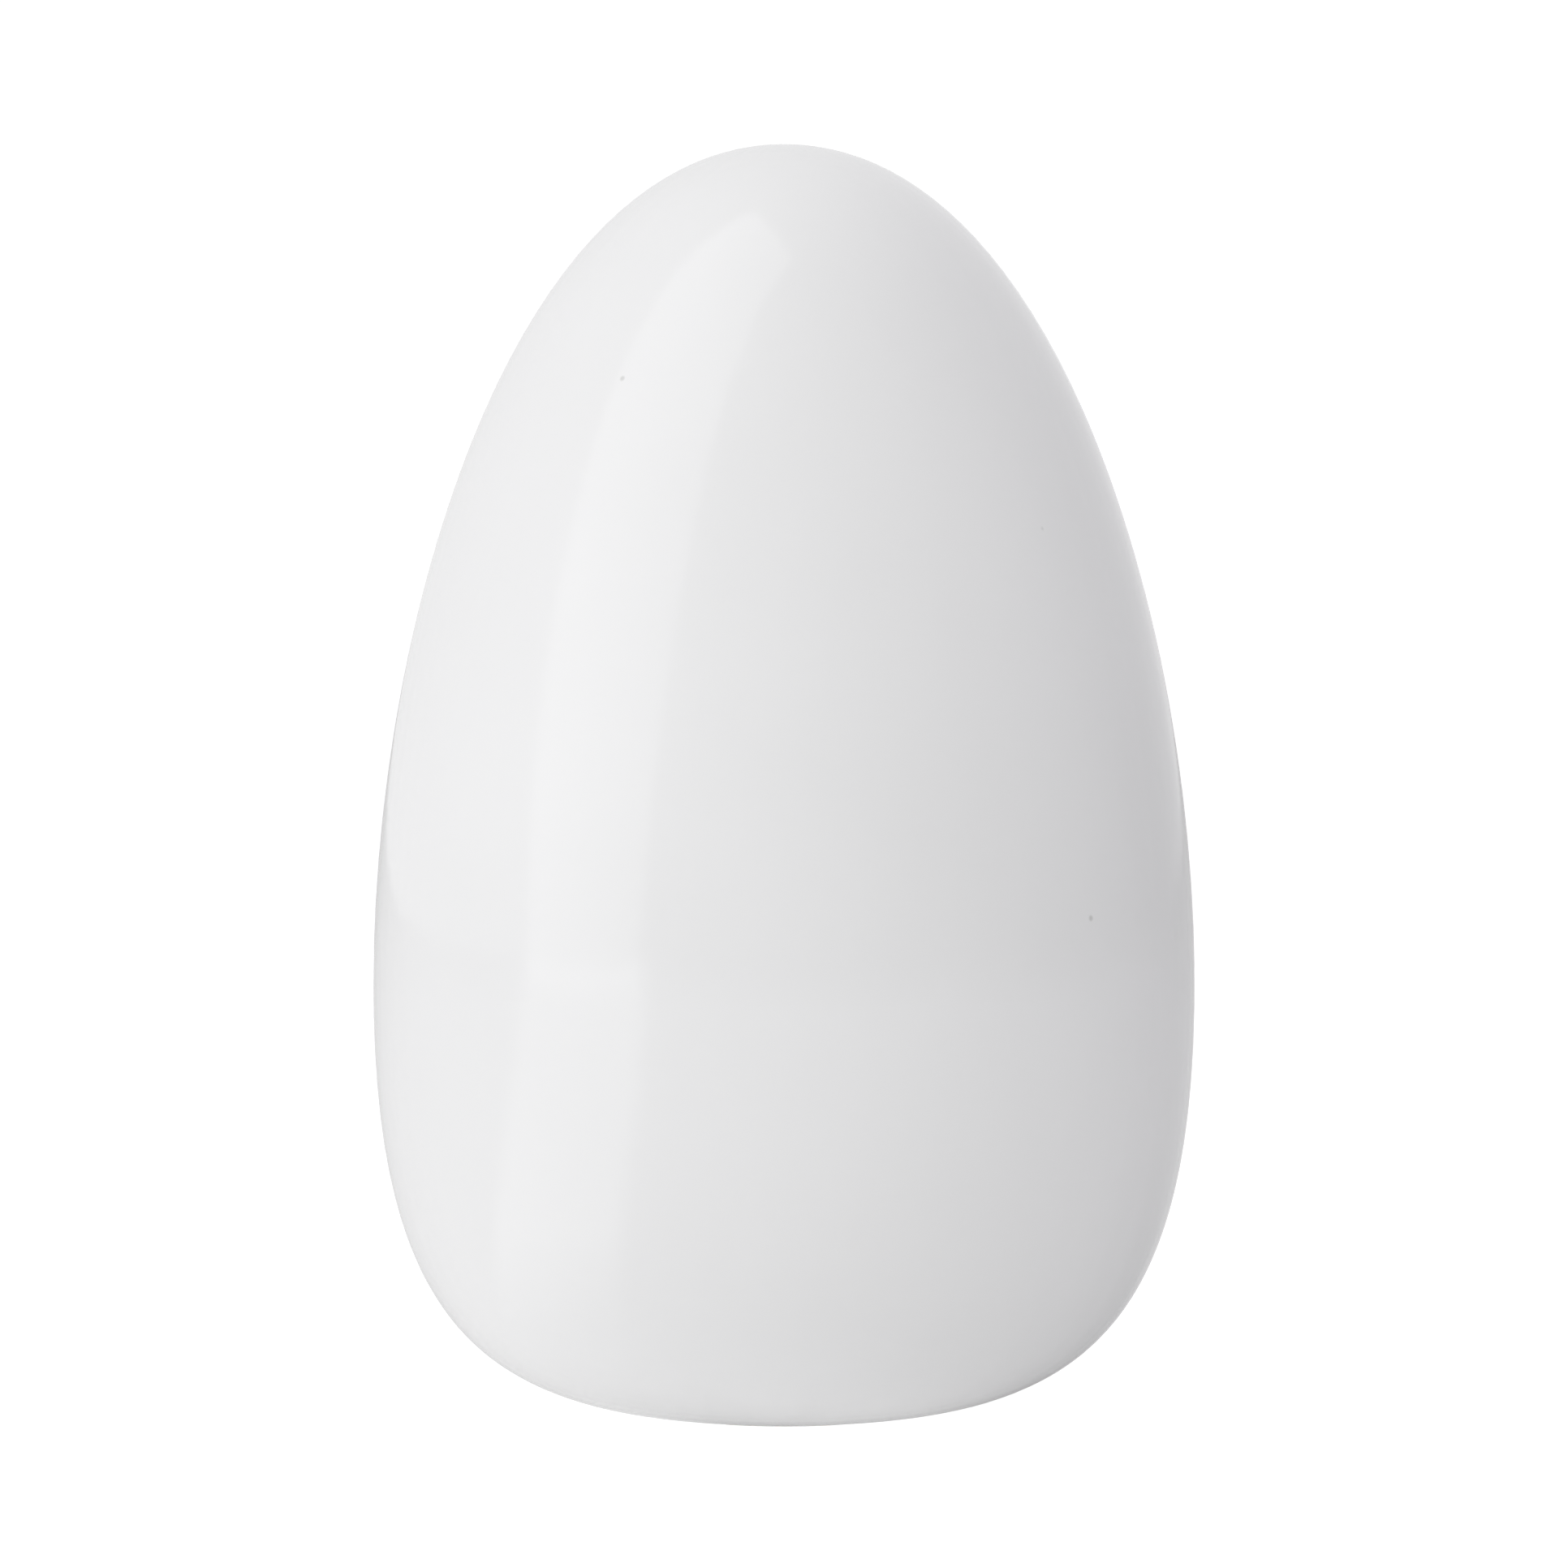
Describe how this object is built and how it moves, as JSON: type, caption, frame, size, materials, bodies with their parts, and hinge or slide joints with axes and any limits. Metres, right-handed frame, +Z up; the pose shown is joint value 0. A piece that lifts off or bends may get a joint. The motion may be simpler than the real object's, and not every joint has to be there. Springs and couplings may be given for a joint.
{
  "type": "kitchen timer",
  "caption": "Glossy white egg-shaped wind-up kitchen timer with a minute dial on its far side, gear train, escapement and bell inside.",
  "frame": {"origin": "middle of the underside, where the egg's axis meets what it stands on", "axes": "+Z up along the egg's axis, +Y out through the dial, -Y out through the plain side"},
  "size_m": [0.06, 0.06, 0.0935],
  "materials": {
    "shell": "smooth glossy white moulding",
    "mark": "orange-red insert",
    "foot": "matt silicone",
    "ballast": "die-cast zinc",
    "dial": "fine satin white moulding",
    "grip": "smooth glossy white moulding",
    "steel": "plain steel",
    "spring_steel": "blued spring steel",
    "plated": "bright nickel plate",
    "brass": "turned brass",
    "fibre": "black fibre"
  },
  "bodies": {
    "case": {"back_shell": "shell", "dial_shell": "shell", "index_mark": "mark", "foot_pad": "foot", "ballast_weight": "ballast", "case_screws": "steel", "movement_screws": "steel", "front_plate": "brass", "rear_plate": "brass", "plate_pillars": "steel", "pillar_nuts": "steel", "spring_post": "steel", "mainspring": "spring_steel", "trip_pivot": "steel", "hammer_pivot": "steel", "hammer_spring": "spring_steel", "hammer_spring_screw": "steel", "pivot_clips": "spring_steel", "bell": "plated", "bell_washer": "fibre", "bell_screw": "steel"},
    "dial": {"dial_disc": "dial", "dial_grip": "grip", "hub_bush": "brass", "main_arbor": "steel", "ratchet_wheel": "steel", "great_wheel": "brass", "click": "steel", "click_rivet": "steel", "click_spring": "spring_steel", "trip_disc": "brass", "arbor_clip": "steel"},
    "second_arbor": {"second_pinion": "steel", "second_wheel": "brass"},
    "third_arbor": {"third_pinion": "steel", "third_wheel": "brass"},
    "escape_arbor": {"escape_pinion": "steel", "escape_wheel": "brass"},
    "pallet": {"pallet_arbor": "steel", "pallet_lever": "brass", "pallet_pins": "steel", "balance_bar": "steel"},
    "trip_lever": {"trip_lever": "steel"},
    "hammer": {"hammer_arm": "steel", "hammer_head": "brass"}
  },
  "joints": [
    {"name": "dial_turn", "type": "hinge", "parent": "case", "child": "dial", "pos_m": [0, 0.024, 0.03205], "axis": [0, -1, 0], "range_deg": [0, 330], "stiffness_Nm_per_rad": 0.006, "springref_deg": -17.19, "deforming": ["mainspring"]},
    {"name": "second_spin", "type": "hinge", "parent": "case", "child": "second_arbor", "pos_m": [0.01184, 0.01, 0.02774], "axis": [0, -1, 0], "range_deg": [-1981, 1]},
    {"name": "third_spin", "type": "hinge", "parent": "case", "child": "third_arbor", "pos_m": [0.0107, 0.01, 0.03748], "axis": [0, -1, 0], "range_deg": [-1, 11881]},
    {"name": "escape_spin", "type": "hinge", "parent": "case", "child": "escape_arbor", "pos_m": [0.00562, 0.01, 0.04299], "axis": [0, -1, 0], "range_deg": [-62371, 1]},
    {"name": "pallet_rock", "type": "hinge", "parent": "case", "child": "pallet", "pos_m": [0.00013, 0.01, 0.04485], "axis": [0, -1, 0], "range_deg": [-4, 4]},
    {"name": "trip_lever_rock", "type": "hinge", "parent": "case", "child": "trip_lever", "pos_m": [0.009, 0.0023, 0.02255], "axis": [0, -1, 0], "range_deg": [0, 3], "stiffness_Nm_per_rad": 0.003, "springref_deg": -5.73},
    {"name": "hammer_swing", "type": "hinge", "parent": "case", "child": "hammer", "pos_m": [-0.01, 0.001, 0.02305], "axis": [0, -1, 0], "range_deg": [-8, 1], "stiffness_Nm_per_rad": 0.005, "deforming": ["hammer_spring"]}
  ],
  "couplings": [
    {"joint": "second_spin", "follows": "dial_turn", "ratio": -6},
    {"joint": "third_spin", "follows": "dial_turn", "ratio": 36},
    {"joint": "escape_spin", "follows": "dial_turn", "ratio": -189}
  ]
}
